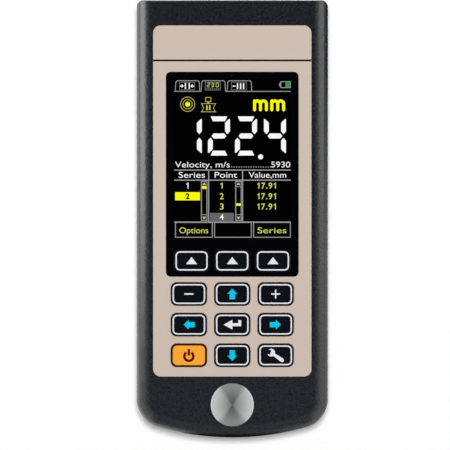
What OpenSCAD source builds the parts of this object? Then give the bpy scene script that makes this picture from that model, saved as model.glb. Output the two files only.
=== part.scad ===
// Hand-held ultrasonic thickness gauge, in millimetres.
// Two moulded shells hold a colour display, a keypad of twelve keys, a steel reference disc
// for zeroing the probe, and an end plate with two coaxial probe sockets and a charging port.
// The gauge lies on its back: +Z points out of its face and +Y points to the sockets.
// The origin is on the back face, under the middle of the housing.

/* [Housing] */
// Width across the long sides
body_w = 70.9; // [69.8:0.1:76]
// Length from the bowed lower end to the square upper end
body_l = 161.6; // [158:0.1:172]
// Height from the back face to the rim of the front face
body_h = 24; // [23.4:0.1:27]
// Radius of the rolled long edges, front and back
edge_r = 5.5; // [4.5:0.1:6.5]
// Plan radius of the two lower corners
corner_r = 11; // [9.5:0.1:14]
// Plan radius of the bowed lower end
end_r = 100; // [85:1:130]
// Plan radius of the two upper corners
top_corner_r = 2.6; // [1.6:0.1:4]
// Radius of the front and back edges of the upper end
top_edge_r = 1; // [0.6:0.1:1.6]
// Thickness of the side walls and the back
wall = 2.2; // [1.9:0.1:2.6]
// Thickness of the front wall, measured at the rim
face_t = 2.8; // [2.5:0.1:3.2]
// Height of the joint line between the two shells
split_z = 11; // [9.5:0.1:12]
// Height of the groove that runs round the outside along that line
seam_h = 0.6; // [0.4:0.05:0.8]
// Depth of that groove
seam_t = 0.4; // [0.2:0.05:0.5]
// Thickness of the tongue that the rear shell puts inside the front shell
lip_t = 1; // [0.8:0.1:1.2]
// Height of that tongue above the joint line
lip_h = 1.5; // [1:0.1:2]
// Thickness of the sealing cord on the tongue
gasket_t = 0.8; // [0.5:0.1:1.2]

/* [Face panel] */
// Distance from the panel to each long side of the housing
panel_side = 6.25; // [5.5:0.05:7]
// Distance from the upper end of the housing to the panel
panel_margin = 9.3; // [8:0.05:10]
// Distance from the lower end of the housing to the panel
panel_foot = 22.8; // [22:0.05:25]
// Corner radius of the face panel
panel_r = 2.8; // [2:0.1:4]
// Thickness of the face panel
panel_t = 0.8; // [0.5:0.1:1]
// Depth of the panel's face below the rim of the housing
panel_sink = 0.5; // [0.3:0.05:0.6]
// Depth of the header field, from the panel's upper edge to its rule
header_l = 12.8; // [11:0.1:15]
// Width of the rule under the header field
rule_w = 0.65; // [0.3:0.05:0.8]

/* [Display] */
// Distance from the black display window to each long edge of the panel
window_side = 4.8; // [4.5:0.05:6]
// Distance from the panel's upper edge to the window
window_drop = 17.2; // [16.5:0.1:18.5]
// Distance from the window's lower edge to the panel's, which leaves room for three rows of keys
keypad_l = 36.9; // [36:0.1:40]
// Corner radius of the display window
window_r = 1.7; // [1:0.1:2.5]
// Thickness of the display window
window_t = 1.2; // [1:0.1:1.4]
// Distance from the picture area to each long edge of the window
view_side = 2.8; // [2.4:0.1:3.4]
// Distance from the window's upper edge to the picture area
view_drop = 2.9; // [2.6:0.1:3.4]
// Distance from the picture area to the window's lower edge, which leaves room for the soft keys
view_foot = 14.3; // [14:0.1:16]
// Width of the display module's edge at each side of the picture area
display_side = 3.4; // [2.9:0.1:3.6]
// Thickness of the display module
display_t = 3.3; // [3:0.1:3.6]
// Thickness of the foam frame between the module and the front wall
foam_t = 0.5; // [0.3:0.05:0.7]

/* [Keys] */
// Distance from the outer soft keys to the long edges of the window
soft_side = 2.85; // [2.4:0.05:3.5]
// Gap between neighbouring soft keys
soft_gap = 1.9; // [1.7:0.1:2.5]
// Length of a key cap
key_l = 8.4; // [7.6:0.1:8.8]
// Corner radius of a key cap
key_r = 2.1; // [1.5:0.1:3]
// Radius of the rolled upper edge of a key cap
key_edge_r = 0.35; // [0.2:0.05:0.5]
// Height of a key above the face panel
key_rise = 0.5; // [0.3:0.05:0.8]
// Gap round a key in the panel
key_gap = 0.2; // [0.15:0.05:0.3]
// Travel of a pressed key
key_travel = 0.5; // [0.3:0.05:0.7]
// Width of the retaining flange under a key cap
flange_w = 0.6; // [0.5:0.05:0.7]
// Thickness of that flange
flange_t = 0.8; // [0.6:0.1:0.9]
// Gap between neighbouring columns of keys
column_gap = 2.9; // [2.2:0.1:3.4]
// Gap between neighbouring rows of keys
row_gap = 2.9; // [2.2:0.1:3]
// Distance from the window's lower edge to the first row of keys
key_drop = 6.45; // [6:0.05:6.8]
// Distance from the window's lower edge to the soft keys
soft_rise = 5.75; // [5.4:0.05:6]
// Width of a key switch
switch_w = 6; // [5:0.1:6.5]
// Diameter of a switch plunger
plunger_d = 3.4; // [3:0.1:3.8]

/* [Reference disc] */
// Diameter of the steel disc
disc_d = 16; // [14:0.1:17]
// Thickness of the disc
disc_t = 5; // [4:0.1:6]
// Height of the disc above the rim of the housing
disc_rise = 0.3; // [0.1:0.05:0.5]
// Distance from the lower end of the housing to the disc's centre
disc_inset = 12.4; // [11.8:0.1:12.8]
// Chamfer round the disc's upper edge
disc_chamfer = 0.45; // [0.2:0.05:0.8]

/* [End plate and connectors] */
// Depth of the end plate's face below the upper end of the housing
plate_recess = 3; // [2.5:0.1:3.5]
// Thickness of the end plate
plate_t = 2; // [1.6:0.1:2.4]
// Gap between the barrel of a probe socket and the screw boss beside it
socket_gap = 2.5; // [1:0.1:4]
// Height of the sockets above the middle of the room under the board
socket_lift = 0.3; // [0:0.1:0.6]
// Radius of the socket's bore for the probe plug
socket_bore_r = 2.5; // [2.3:0.05:2.7]
// Depth of that bore
socket_bore_l = 5; // [4:0.1:6]
// Radius of the socket's barrel
barrel_r = 3.5; // [3.3:0.05:3.7]
// Length of the barrel behind the plate's face
barrel_l = 10; // [9:0.1:11]
// Radius of the socket's flange
socket_flange_r = 4.6; // [4.3:0.1:5]
// Thickness of the flange
socket_flange_t = 1.5; // [1.2:0.1:1.8]
// Width of the charging port
usb_w = 7.7; // [7.2:0.1:9]
// Height of the charging port
usb_h = 3.9; // [3.4:0.1:4.2]
// Length of the charging port
usb_l = 9; // [7:0.1:10]

/* [Board and battery] */
// Thickness of the main board
board_t = 1.6; // [1.2:0.1:1.8]
// Gap between the main board and the side walls
board_gap = 1.65; // [1:0.05:1.7]
// Length of the battery pack
battery_l = 58; // [50:0.5:62]
// Width of the battery pack
battery_w = 36; // [30:0.5:40]
// Thickness of the battery pack
battery_t = 9; // [7:0.1:9.5]
// Thickness of the adhesive pad under the battery
pad_t = 0.8; // [0.5:0.1:1.2]

/* [Fasteners] */
// Radius of the housing screws
screw_r = 1.5; // [1.3:0.05:1.6]
// Radius of the housing screws' heads
screw_head_r = 2.75; // [2.5:0.05:2.9]
// Depth of the heads below the back face
screw_sink = 0.6; // [0.4:0.1:1]
// Radius of the bosses that the housing screws join
boss_r = 3.6; // [3.5:0.05:4]
// Radius of the board screws
board_screw_r = 1; // [0.8:0.05:1.1]

/* [Hidden] */
$fn = 64;

// Clearance of parts that slide or drop into each other
fit = 0.1;
// Amount by which a round stands proud of the faces that it runs into
proud = 0.05;

// Housing outline
half_w = body_w / 2;
y_top = body_l / 2;
y_low = -body_l / 2;
arc_y = y_low + end_r;
corner_x = half_w - corner_r;
corner_a = asin(corner_x / (end_r - corner_r));
corner_y = arc_y - (end_r - corner_r) * cos(corner_a);
inner_edge_r = edge_r - wall;
inner_z = body_h - face_t;

// Face panel and display window
panel_w = body_w - 2 * panel_side;
panel_l = body_l - panel_margin - panel_foot;
panel_top_y = y_top - panel_margin;
panel_y = panel_top_y - panel_l / 2;
panel_z = body_h - panel_sink;
recess_z = panel_z - panel_t;
rim_step = 0.45;
rim_step_h = 0.2;
rule_y = panel_top_y - header_l;
rule_depth = panel_t / 4;
window_w = panel_w - 2 * window_side;
window_l = panel_l - window_drop - keypad_l;
window_top_y = panel_top_y - window_drop;
window_low_y = window_top_y - window_l;
window_y = window_top_y - window_l / 2;
window_seat_z = panel_z - window_t;
view_w = window_w - 2 * view_side;
view_l = window_l - view_drop - view_foot;
view_y = window_top_y - view_drop - view_l / 2;
view_margin = 0.8;
aperture_r = 0.8;

// Display module, with its wider edge at the top, where its connector is
display_z1 = inner_z - foam_t;
board_z1 = display_z1 - display_t;
board_z0 = board_z1 - board_t;
display_low_edge = 3;
display_top_edge = 8.6;
display_w = view_w + 2 * display_side;
display_l = view_l + display_low_edge + display_top_edge;
display_y = view_y + (display_top_edge - display_low_edge) / 2;
glass_t = 1.2;
glass_edge = 1.5;
foam_edge = 2.5;
rib_t = 1;
rib_gap = 0.3;
rib_h = 2.4;

// Keys by row; the first row lies in the display window
KEY_ROWS = [
    ["soft_key_left", "soft_key_middle", "soft_key_right"],
    ["minus_key", "up_key", "plus_key"],
    ["left_key", "enter_key", "right_key"],
    ["power_key", "down_key", "setup_key"],
];
// Each key's name, column and row
KEYS = [for (row = [0 : 3], column = [-1 : 1]) [KEY_ROWS[row][column + 1], column, row]];
key_w = (window_w - 2 * soft_side - 2 * soft_gap) / 3;
soft_pitch = key_w + soft_gap;
key_pitch_x = key_w + column_gap;
key_pitch_y = key_l + row_gap;
function key_at(k) = k[2] == 0
    ? [k[1] * soft_pitch, window_low_y + soft_rise]
    : [k[1] * key_pitch_x, window_low_y - key_drop - (k[2] - 1) * key_pitch_y];
function plunger_of(k) = str(k[0], "_plunger");
key_z1 = panel_z + key_rise;
stop_gap = 0.05;
flange_z1 = inner_z - stop_gap;
flange_z0 = flange_z1 - flange_t;
press_gap = 0.15;
switch_z1 = flange_z0 - key_travel - press_gap;
plunger_z1 = flange_z0 - stop_gap;
plunger_depth = 0.8;
plunger_z0 = switch_z1 - plunger_depth;
switch_bore_z0 = plunger_z0 - key_travel - press_gap;

// Reference disc in its cup
disc_r = disc_d / 2;
disc_y = y_low + disc_inset;
disc_z1 = body_h + disc_rise;
disc_z0 = disc_z1 - disc_t;
cup_t = 1.8;
cup_floor = 1.2;

// End plate
plate_y1 = y_top - plate_recess;
plate_y0 = plate_y1 - plate_t;
plate_bite = 1;

// Housing screws, in from the back, and the inserts that take them
boss_side = 8.85;
boss_drop = 8;
boss_foot = 18.5;
boss_x = half_w - boss_side;
boss_top_y = plate_y0 - boss_drop;
boss_low_y = y_low + boss_foot;
head_t = 2;
head_z1 = screw_sink + head_t;
insert_r = 2.3;
insert_l = 6;
screw_tip = 1;
screw_l = split_z + insert_l + screw_tip - head_z1;
socket_hex_r = 1.2;
socket_hex_l = 1.2;

// Connectors in the end plate
socket_x = boss_x - boss_r - barrel_r - socket_gap;
socket_z = (wall + board_z0) / 2 + socket_lift;
nut_t = 2;
nut_rim = 1;
nut_flats = 2 * (barrel_r + nut_rim);
bore_step = 0.5;
insulator_r = socket_bore_r - bore_step;
contact_r = 0.6;
contact_bore_r = 0.35;
contact_bore_l = 3;
contact_tail = 2.5;
lead_l = 4;
lead_r = 0.5;
spanner_slot = 1;
usb_wall = 0.4;
usb_r = 0.7;
usb_sink = 0.3;
tongue_gap = 1.35;
tongue_sink = 1;
tongue_t = 0.65;
usb_z = board_z0 - usb_h / 2;

// Main board and what it carries
board_foot = 25.5;
board_end_gap = 0.7;
neck_l = 16.5;
neck_gap = 0.9;
board_half_w = half_w - wall - board_gap;
board_y0 = y_low + board_foot;
board_y1 = plate_y0 - board_end_gap;
board_neck_y = plate_y0 - neck_l;
board_neck_half_w = boss_x - boss_r - neck_gap;
post_r = 2.4;
post_inset = 7;
post_x = display_w / 2 + rib_gap + rib_t / 2 + post_r;
post_ys = [board_y0 + post_inset, board_neck_y - post_inset];
board_head_r = 1.8 * board_screw_r;
board_head_t = 1.3;
board_screw_l = 4.6;
chip_t = 1.2;
// Chips on the underside of the board: centre x, centre's distance below the neck, width, length
CHIPS = [[-10, 11, 14, 14], [9, 12, 12, 8], [10, 24, 9, 9], [-11, 26, 10, 6]];

// Battery pack and its seat
battery_drop = 38;
battery_r = 2;
pad_edge = 4;
battery_y = board_neck_y - battery_drop - battery_l / 2;
battery_z0 = wall + pad_t;
battery_z1 = battery_z0 + battery_t;
cradle_t = 1.2;
cradle_h = 6;
cradle_gap = 0.4;
contact_xs = [-5, 0, 5];
contact_w = 3;
contact_l = 5;
contact_inset = 5;

// Node names

// Colours
shell_colour = "#25282d";
panel_colour = "#cdbbae";
window_colour = "#07080b";
key_colour = "#12151a";
power_colour = "#fba93f";
steel_colour = "#b4b6b6";
brass_colour = "#c9a24a";

// Upright half outline from x0 out to x1, with its two outer corners rounded
module half_profile(x0, x1, z0, z1, top_r, foot_r) intersection() {
    translate([x0, z0]) square([x1 - x0, z1 - z0]);
    union() {
        r = max(top_r, foot_r);
        if (r > 0) translate([x0, z0]) square([x1 - r - x0, z1 - z0]);
        translate([x0, z0 + foot_r]) square([x1 - x0, z1 - z0 - top_r - foot_r]);
        if (top_r > 0) translate([x1 - top_r, z1 - top_r]) circle(top_r);
        if (foot_r > 0) translate([x1 - foot_r, z0 + foot_r]) circle(foot_r);
    }
}

// Upright outline, symmetrical about its middle
module full_profile(x1, z0, z1, top_r, foot_r) {
    r = max(top_r, foot_r);
    if (r > 0) translate([r - x1, z0]) square([2 * (x1 - r), z1 - z0]);
    translate([-x1, z0 + foot_r]) square([2 * x1, z1 - z0 - top_r - foot_r]);
    for (side = [-1, 1]) {
        if (top_r > 0) translate([side * (x1 - top_r), z1 - top_r]) circle(top_r);
        if (foot_r > 0) translate([side * (x1 - foot_r), z0 + foot_r]) circle(foot_r);
    }
}

// Plan rectangle with round corners
module rounded_rect(w, l, r) {
    square([w, l - 2 * r], center = true);
    square([w - 2 * r, l], center = true);
    for (x = [-1, 1], y = [-1, 1]) translate([x * (w / 2 - r), y * (l / 2 - r)]) circle(r);
}

// Upright plate with round corners, between two heights
module plate(w, l, r, z0, z1) translate([0, 0, z0]) linear_extrude(z1 - z0) rounded_rect(w, l, r);

// Upright plate with round corners and a rolled upper edge
module rolled_plate(w, l, r, z0, z1, roll) intersection() {
    rotate([90, 0, 0]) linear_extrude(l, center = true) full_profile(w / 2, z0, z1, roll, 0);
    rotate([90, 0, 90]) linear_extrude(w + 1, center = true)
        full_profile(l / 2, z0 - 1, z1 + proud, roll, 0);
    plate_corners(w, l, r, z0 - 1, z1 + proud, roll);
}

// A cross-shaped block with a rolled round in each corner
module plate_corners(w, l, r, z0, z1, roll) {
    translate([0, 0, z0]) linear_extrude(z1 - z0 + 1) {
        square([w - 2 * r, l + 1], center = true);
        square([w + 1, l - 2 * r], center = true);
    }
    for (x = [-1, 1], y = [-1, 1]) translate([x * (w / 2 - r), y * (l / 2 - r), 0])
        rotate_extrude() half_profile(0, r + proud, z0, z1, roll, 0);
}

// Cross-section of the housing, drawn in by inset and run along Y
module housing_slice(inset, y0, y1, z0, z1, roll) translate([0, y1, 0]) rotate([90, 0, 0])
    linear_extrude(y1 - y0) full_profile(half_w - inset, z0, z1, roll, roll);

// The housing's form, drawn in by inset: straight sides, cut by the bowed end and two round corners
module housing_form(inset, y1, z0, z1, roll = 0) intersection() {
    housing_slice(inset, y_low, y1, z0, z1, roll);
    translate([0, arc_y, 0]) rotate_extrude()
        half_profile(0, end_r - inset, z0 - proud, z1 + proud, roll, roll);
    corner_rounds(inset, y1, z0, z1, roll);
}

// Everything but the two lower corners, with a round in place of each
module corner_rounds(inset, y1, z0, z1, roll) {
    h = z1 - z0 + 2 * wall;
    reach = corner_r + wall;
    foot_x = corner_x + reach * sin(corner_a);
    foot_y = corner_y - reach * cos(corner_a);
    translate([0, 0, z0 - wall]) linear_extrude(h) polygon([
        [corner_x, y1 + wall], [-corner_x, y1 + wall], [-corner_x, corner_y],
        [-foot_x, foot_y], [foot_x, foot_y], [corner_x, corner_y]]);
    translate([-body_w, corner_y, z0 - wall]) cube([2 * body_w, y1 - corner_y + wall, h]);
    for (side = [-1, 1]) translate([side * corner_x, corner_y, 0]) rotate_extrude()
        half_profile(0, corner_r - inset + proud, z0 - proud, z1 + proud, roll, roll);
}

// The whole housing as one solid, with the edges of its square upper end rounded
module housing_outer() intersection() {
    housing_form(0, y_top + wall, 0, body_h, edge_r);
    translate([0, 0, -wall]) linear_extrude(body_h + 2 * wall) rotate(90)
        half_profile(y_low - wall, y_top + proud, -half_w - proud, half_w + proud,
            top_corner_r, top_corner_r);
    rotate([90, 0, 90]) linear_extrude(body_w + 2 * wall, center = true)
        half_profile(y_low - wall, y_top, -proud, body_h + proud, top_edge_r, top_edge_r);
}

// The room inside the housing, open at the upper end
module housing_room() housing_form(wall, y_top + wall, wall, inner_z, inner_edge_r);

// Everything above or below the joint line
module above_joint() translate([-body_w, -body_l, split_z]) cube([2 * body_w, 2 * body_l, 2 * body_h]);
module below_joint() translate([-body_w, -body_l, split_z - 2 * body_h])
    cube([2 * body_w, 2 * body_l, 2 * body_h]);

// The groove round the outside of the front shell's foot
module joint_groove() difference() {
    translate([-body_w, -body_l, split_z - seam_h]) cube([2 * body_w, 2 * body_l, 2 * seam_h]);
    housing_form(seam_t, y_top + wall, split_z - 2 * seam_h, split_z + 2 * seam_h);
}

// The end plate's form, let into the walls by bite and thickened by slack
module end_plate_form(bite, slack) housing_slice(
    wall - bite, plate_y0 - slack, plate_y1 + slack, wall - bite, inner_z + bite, inner_edge_r + bite);

// The openings that the keys of some rows pass through
module key_openings(rows, z0, z1) for (k = KEYS) if (search(k[2], rows)) translate(key_at(k))
    plate(key_w + 2 * key_gap, key_l + 2 * key_gap, key_r + key_gap, z0, z1);

// Copies at the housing bosses or at the board posts
module at_bosses() for (x = [-boss_x, boss_x], y = [boss_low_y, boss_top_y]) translate([x, y]) children();
module at_posts() for (x = [-post_x, post_x], y = post_ys) translate([x, y]) children();

// Solid cylinder between two heights
module post(r, z0, z1) translate([0, 0, z0]) cylinder(r = r, h = z1 - z0);

// Ribs that hold the display module at its two sides and its upper edge
module display_ribs() {
    side_x = display_w / 2 + rib_gap;
    low_y = display_y - display_l / 2;
    for (side = [0, 1]) mirror([side, 0, 0])
        translate([side_x, low_y, inner_z - rib_h]) cube([rib_t, display_l, rib_h + face_t / 4]);
    translate([-side_x - rib_t, low_y + display_l + rib_gap, inner_z - rib_h])
        cube([2 * (side_x + rib_t), rib_t, rib_h + face_t / 4]);
}

// Front half of the housing, with the seats of the panel, window, keys and disc
module front_shell() color(shell_colour) difference() {
    union() {
        difference() {
            intersection() {
                housing_outer();
                above_joint();
            }
            housing_room();
            housing_form(wall - lip_t - fit, plate_y0, split_z - 1, split_z + lip_h + gasket_t);
        }
        at_bosses() post(boss_r, split_z, inner_z + face_t / 4);
        at_posts() post(post_r, board_z1, inner_z + face_t / 4);
        display_ribs();
        translate([0, disc_y]) post(disc_r + cup_t, disc_z0 - cup_floor, inner_z + face_t / 4);
    }
    translate([0, panel_y]) plate(panel_w + 2 * fit, panel_l + 2 * fit, panel_r + fit, recess_z, body_h + 1);
    translate([0, panel_y]) plate(panel_w + 2 * rim_step, panel_l + 2 * rim_step, panel_r + rim_step,
        body_h - rim_step_h, body_h + 1);
    translate([0, window_y]) plate(window_w + 2 * fit, window_l + 2 * fit, window_r + fit,
        window_seat_z, body_h + 1);
    translate([0, view_y]) plate(view_w + 2 * view_margin, view_l + 2 * view_margin, aperture_r,
        inner_z - 1, body_h + 1);
    key_openings([0, 1, 2, 3], inner_z - 1, body_h + 1);
    translate([0, disc_y]) post(disc_r + fit / 2, disc_z0, body_h + 1);
    at_bosses() post(insert_r + fit / 4, split_z - 1, split_z + insert_l);
    at_bosses() post(screw_r + fit, split_z, split_z + insert_l + 2);
    at_posts() post(board_screw_r + fit / 4, board_z1 - 1, board_z1 + board_screw_l - board_t + fit);
    end_plate_form(plate_bite, fit);
    joint_groove();
}

// Rear half of the housing, with its tongue, screw bosses and battery cradle
module rear_shell() color(shell_colour) difference() {
    union() {
        difference() {
            union() {
                intersection() {
                    housing_outer();
                    below_joint();
                }
                housing_form(wall - lip_t, plate_y0 - 2 * fit, split_z - lip_h, split_z + lip_h);
            }
            housing_room();
        }
        at_bosses() post(boss_r, wall / 2, split_z);
        battery_cradle();
    }
    at_bosses() post(screw_r + 2 * fit, -1, split_z + 1);
    at_bosses() post(screw_head_r + 2 * fit, -1, head_z1);
    end_plate_form(plate_bite, fit);
}

// Low wall round the battery on the inside of the back
module battery_cradle() translate([0, battery_y, wall / 2]) difference() {
    translate([0, 0, cradle_h / 2]) cube([battery_w + 2 * (cradle_gap + cradle_t),
        battery_l + 2 * (cradle_gap + cradle_t), cradle_h], center = true);
    cube([battery_w + 2 * cradle_gap, battery_l + 2 * cradle_gap, 3 * cradle_h], center = true);
}

// Sealing cord that lies on the rear shell's tongue
module shell_gasket() color("#1a1a1c") difference() {
    housing_form(wall - lip_t, plate_y0 - 2 * fit, split_z + lip_h, split_z + lip_h + gasket_t);
    housing_form(wall, y_top, split_z, split_z + lip_h + 2 * gasket_t);
}

// Plate between the shells that carries the sockets and the charging port
module end_plate() color(shell_colour) difference() {
    end_plate_form(plate_bite - fit, 0);
    for (side = [-1, 1]) at_socket(side) translate([0, 0, -plate_t - 1])
        cylinder(r = barrel_r + fit, h = plate_t + 2);
    translate([0, plate_y0 - 1, usb_z]) rotate([-90, 0, 0])
        linear_extrude(plate_t + 2) rounded_rect(usb_w + 4 * fit, usb_h + 4 * fit, usb_r + 2 * fit);
}

// Printed face panel with openings for the window and nine keys
module face_panel() color(panel_colour) difference() {
    translate([0, panel_y]) plate(panel_w, panel_l, panel_r, recess_z, panel_z);
    translate([0, window_y]) plate(window_w + 2 * fit, window_l + 2 * fit, window_r + fit,
        recess_z - 1, panel_z + 1);
    key_openings([1, 2, 3], recess_z - 1, panel_z + 1);
    translate([-panel_w, rule_y - rule_w / 2, panel_z - rule_depth]) cube([2 * panel_w, rule_w, panel_t]);
}

// Display window with openings for the three soft keys
module display_window() color(window_colour) difference() {
    translate([0, window_y]) plate(window_w, window_l, window_r, window_seat_z, panel_z);
    key_openings([0], window_seat_z - 1, panel_z + 1);
}

// Foam frame that seals the module against the front wall
module display_foam() color("#202124") translate([0, view_y]) difference() {
    plate(view_w + 2 * foam_edge, view_l + 2 * foam_edge, aperture_r, display_z1, inner_z);
    plate(view_w + 2 * view_margin, view_l + 2 * view_margin, aperture_r, display_z1 - 1, inner_z + 1);
}

// Glass of the display, which shows the picture
module display_glass() color("#050507") translate([0, view_y]) plate(
    view_w + 2 * glass_edge, view_l + 2 * glass_edge, aperture_r, display_z1 - glass_t, display_z1);

// Tray of the display, with its light behind the glass
module display_frame() color("#d9dbdc") difference() {
    translate([0, display_y]) plate(display_w, display_l, aperture_r, board_z1, display_z1);
    translate([0, view_y]) plate(view_w + 2 * glass_edge + 2 * fit, view_l + 2 * glass_edge + 2 * fit,
        aperture_r, display_z1 - glass_t, display_z1 + 1);
}

// Main board: wide under the display and keys, narrow between the upper bosses
module main_board() color("#1f5a3a") difference() {
    translate([0, 0, board_z0]) linear_extrude(board_t) {
        translate([-board_half_w, board_y0]) square([2 * board_half_w, board_neck_y - board_y0]);
        translate([-board_neck_half_w, board_y0]) square([2 * board_neck_half_w, board_y1 - board_y0]);
    }
    at_posts() post(board_screw_r + fit, board_z0 - 1, board_z1 + 1);
}

// Chips on the underside of the board
module board_chips() color("#17181a") for (c = CHIPS)
    translate([c[0] - c[2] / 2, board_neck_y - c[1] - c[3] / 2, board_z0 - chip_t])
        cube([c[2], c[3], chip_t]);

// Tactile switches under the keys, each with a bore for its plunger
module key_switches() color("#3a3c40") for (k = KEYS) translate(key_at(k)) difference() {
    translate([-switch_w / 2, -switch_w / 2, board_z1]) cube([switch_w, switch_w, switch_z1 - board_z1]);
    post(plunger_d / 2 + fit, switch_bore_z0, switch_z1 + 1);
}

// Key cap with the flange that keeps it under the front wall
module key(k) color(k[0] == "power_key" ? power_colour : key_colour) translate(key_at(k)) {
    rolled_plate(key_w, key_l, key_r, flange_z0 + flange_t / 4, key_z1, key_edge_r);
    plate(key_w + 2 * flange_w, key_l + 2 * flange_w, key_r + flange_w, flange_z0, flange_z1);
}

// Plunger of the switch under a key
module plunger(k) color("#e6e2d8") translate(key_at(k)) post(plunger_d / 2, plunger_z0, plunger_z1);

// Battery pack, the pad that holds it and the board's contacts on it
module battery_pack() color("#8d9298") translate([0, battery_y])
    plate(battery_w, battery_l, battery_r, battery_z0, battery_z1);
module battery_pad() color("#d8d4c4") translate([0, battery_y])
    plate(battery_w - 2 * pad_edge, battery_l - 2 * pad_edge, battery_r, wall, battery_z0);
module battery_contacts() color(brass_colour) for (x = contact_xs)
    translate([x - contact_w / 2, battery_y + battery_l / 2 - contact_inset - contact_l / 2, battery_z1])
        cube([contact_w, contact_l, board_z0 - battery_z1]);

// Socket frame: origin on the plate's face, with +Z out of the upper end
module at_socket(side) translate([side * socket_x, plate_y1, socket_z])
    rotate([-90, 0, 0]) children();
module at_sockets() for (side = [-1, 1]) at_socket(side) children();

// Coaxial probe socket: flange, threaded barrel and stepped bore, with two spanner slots
module probe_socket(side) color("#c6c8ca") at_socket(side) difference() {
    union() {
        cylinder(r = socket_flange_r, h = socket_flange_t);
        translate([0, 0, -barrel_l]) cylinder(r = barrel_r, h = barrel_l + socket_flange_t / 2);
    }
    translate([0, 0, socket_flange_t - socket_bore_l]) cylinder(r = socket_bore_r, h = socket_bore_l + 1);
    translate([0, 0, -barrel_l - 1]) cylinder(r = insulator_r, h = barrel_l + 1);
    for (x = [-1, 1]) translate([x * socket_flange_r, 0, socket_flange_t])
        cube([spanner_slot, spanner_slot, spanner_slot], center = true);
}

// Nut behind the plate, on each socket's barrel
module socket_nuts() color("#b0b2b4") at_sockets() translate([0, 0, -plate_t - nut_t]) difference() {
    rotate(30) cylinder(r = nut_flats / sqrt(3), h = nut_t, $fn = 6);
    translate([0, 0, -1]) cylinder(r = barrel_r + fit / 2, h = nut_t + 2);
}

// Insulator in each socket, flush with the floor of the plug's bore
module socket_insulators() color("#e9e9e6") at_sockets() difference() {
    translate([0, 0, -barrel_l])
        cylinder(r = insulator_r - fit / 4, h = barrel_l + socket_flange_t - socket_bore_l);
    translate([0, 0, -barrel_l - 1]) cylinder(r = contact_r + fit / 4, h = barrel_l + 2);
}

// Centre contact of each socket, bored for the plug's pin
module socket_contacts() color(brass_colour) at_sockets() difference() {
    translate([0, 0, -barrel_l - contact_tail])
        cylinder(r = contact_r, h = barrel_l + contact_tail + socket_flange_t - socket_bore_l);
    translate([0, 0, socket_flange_t - socket_bore_l - contact_bore_l])
        cylinder(r = contact_bore_r, h = contact_bore_l + 1);
}

// Lead from each contact's tail, back and up to the underside of the board
module socket_leads() color("#b03030") at_sockets() {
    tail_z = -barrel_l - contact_tail;
    translate([0, 0, tail_z - lead_l]) cylinder(r = lead_r, h = lead_l);
    translate([0, lead_r, tail_z - lead_l]) rotate([90, 0, 0])
        cylinder(r = lead_r + fit, h = board_z0 - socket_z + lead_r);
}

// Charging port on the underside of the board, open through the end plate
module usb_port() color("#c2c4c6") translate([0, plate_y1 - usb_sink, usb_z]) rotate([90, 0, 0])
    difference() {
        linear_extrude(usb_l) rounded_rect(usb_w, usb_h, usb_r);
        translate([0, 0, -1]) linear_extrude(usb_l - usb_wall + 1)
            rounded_rect(usb_w - 2 * usb_wall, usb_h - 2 * usb_wall, usb_r - usb_wall / 2);
    }

// Contact tongue inside the port
module usb_tongue() color("#1b1c1e") translate([0, plate_y1 - usb_sink - tongue_sink, usb_z])
    rotate([90, 0, 0]) linear_extrude(usb_l - usb_wall - tongue_sink)
        square([usb_w - 2 * tongue_gap, tongue_t], center = true);

// Steel disc of known thickness, with a chamfered upper edge
module reference_disc() color(steel_colour) translate([0, disc_y, disc_z0]) rotate_extrude() polygon([
    [0, 0], [disc_r, 0], [disc_r, disc_t - disc_chamfer], [disc_r - disc_chamfer, disc_t], [0, disc_t]]);

// Housing screws: socket heads sunk in the back, shanks up into the inserts
module housing_screws() color("#4a4c50") at_bosses() difference() {
    union() {
        post(screw_head_r, screw_sink, head_z1);
        post(screw_r - fit / 2, screw_sink, head_z1 + screw_l);
    }
    translate([0, 0, screw_sink - 1]) cylinder(r = socket_hex_r, h = socket_hex_l + 1, $fn = 6);
}

// Threaded inserts in the front shell's bosses
module screw_inserts() color(brass_colour) at_bosses() difference() {
    post(insert_r, split_z, split_z + insert_l);
    post(screw_r, split_z - 1, split_z + insert_l + 1);
}

// Screws that hold the board on its posts
module board_screws() color("#9a9ca0") at_posts() {
    post(board_head_r, board_z0 - board_head_t, board_z0);
    post(board_screw_r, board_z0 - board_head_t / 2, board_z0 + board_screw_l);
}

front_shell();
rear_shell();
shell_gasket();
end_plate();
face_panel();
display_window();
display_foam();
display_glass();
display_frame();
main_board();
board_chips();
key_switches();
battery_pack();
battery_pad();
battery_contacts();
probe_socket(-1);  // probe_socket_left
probe_socket(1);  // probe_socket_right
socket_nuts();
socket_insulators();
socket_contacts();
socket_leads();
usb_port();
usb_tongue();
reference_disc();
housing_screws();
screw_inserts();
board_screws();
for (k = KEYS) {
    key(k);
    plunger(k);
}
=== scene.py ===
"""Looks of a hand-held ultrasonic thickness gauge: its finishes, the prints on its keys,
the picture on its display, and the studio that it is photographed in."""
import math

import bmesh
import bpy
from mathutils import Matrix, Vector


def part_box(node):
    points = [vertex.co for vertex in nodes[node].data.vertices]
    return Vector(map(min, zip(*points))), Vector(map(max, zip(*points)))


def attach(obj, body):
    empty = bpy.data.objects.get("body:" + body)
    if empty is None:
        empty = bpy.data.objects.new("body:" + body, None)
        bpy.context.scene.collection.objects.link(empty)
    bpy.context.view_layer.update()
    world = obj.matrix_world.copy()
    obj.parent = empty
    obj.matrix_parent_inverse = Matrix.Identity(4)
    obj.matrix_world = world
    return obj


MM = 0.001

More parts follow.
